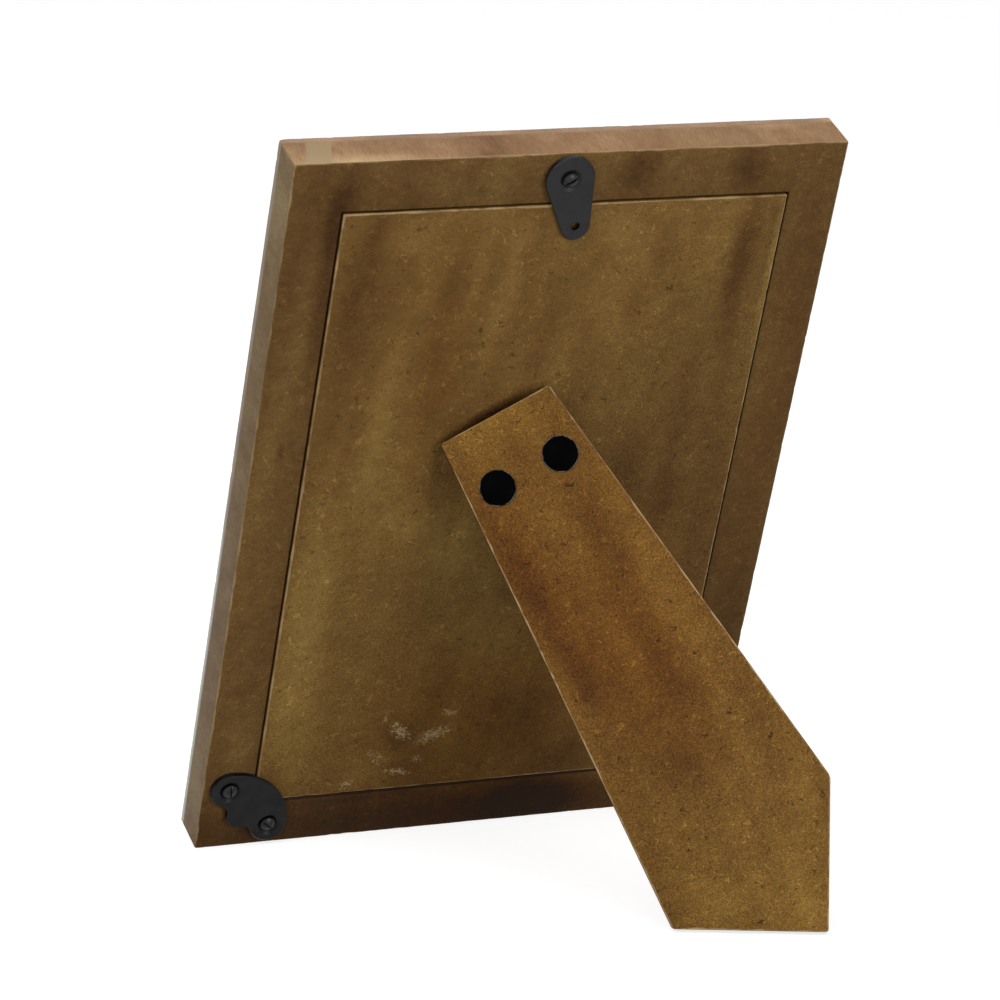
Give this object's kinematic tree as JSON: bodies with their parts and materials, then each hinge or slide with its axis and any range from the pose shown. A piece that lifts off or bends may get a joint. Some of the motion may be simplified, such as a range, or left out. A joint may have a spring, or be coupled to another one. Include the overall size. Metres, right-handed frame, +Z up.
{
  "type": "easel back photo frame",
  "caption": "Easel back photo frame standing in portrait: a rebated ring with glass, picture and a loose back held by a turn button and corner plates, and a hinged folding leg.",
  "frame": {"origin": "middle of the box round the standing frame, on the floor that it stands on", "axes": "+Z up, the picture faces -Y, the leg stands behind towards +Y"},
  "size_m": [0.1278, 0.1144, 0.1706],
  "materials": {
    "ring_board": "brown fibreboard",
    "back_board": "brown hardboard",
    "leg_board": "brown hardboard",
    "facing": "pale grey satin",
    "glass": "clear",
    "card": "blank matt card",
    "black_metal": "black satin",
    "hinge_steel": "plated"
  },
  "bodies": {
    "frame": {"frame_ring": "ring_board", "front_facing": "facing", "glass_pane": "glass", "picture_sheet": "card", "backing_panel": "back_board", "hinge_panel_leaf": "hinge_steel", "hinge_pin": "hinge_steel", "panel_rivet_left": "hinge_steel", "panel_rivet_right": "hinge_steel", "turn_button_screw": "black_metal", "corner_plate_left": "black_metal", "plate_screw_left_side": "black_metal", "plate_screw_left_bottom": "black_metal", "corner_plate_right": "black_metal", "plate_screw_right_side": "black_metal", "plate_screw_right_bottom": "black_metal"},
    "leg": {"easel_leg": "leg_board", "hinge_leg_leaf": "hinge_steel", "leg_rivet_left": "black_metal", "leg_rivet_right": "black_metal"},
    "button": {"turn_button": "black_metal"}
  },
  "joints": [
    {"name": "leg_fold", "type": "hinge", "parent": "frame", "child": "leg", "pos_m": [0.00595, -0.00549, 0.10141], "axis": [-0.8616, 0.1819, 0.4738], "range_deg": [0, 45]},
    {"name": "button_swivel", "type": "hinge", "parent": "frame", "child": "button", "pos_m": [0.00135, 0.01492, 0.16128], "axis": [0, 0.9336, -0.3584], "continuous": true}
  ]
}
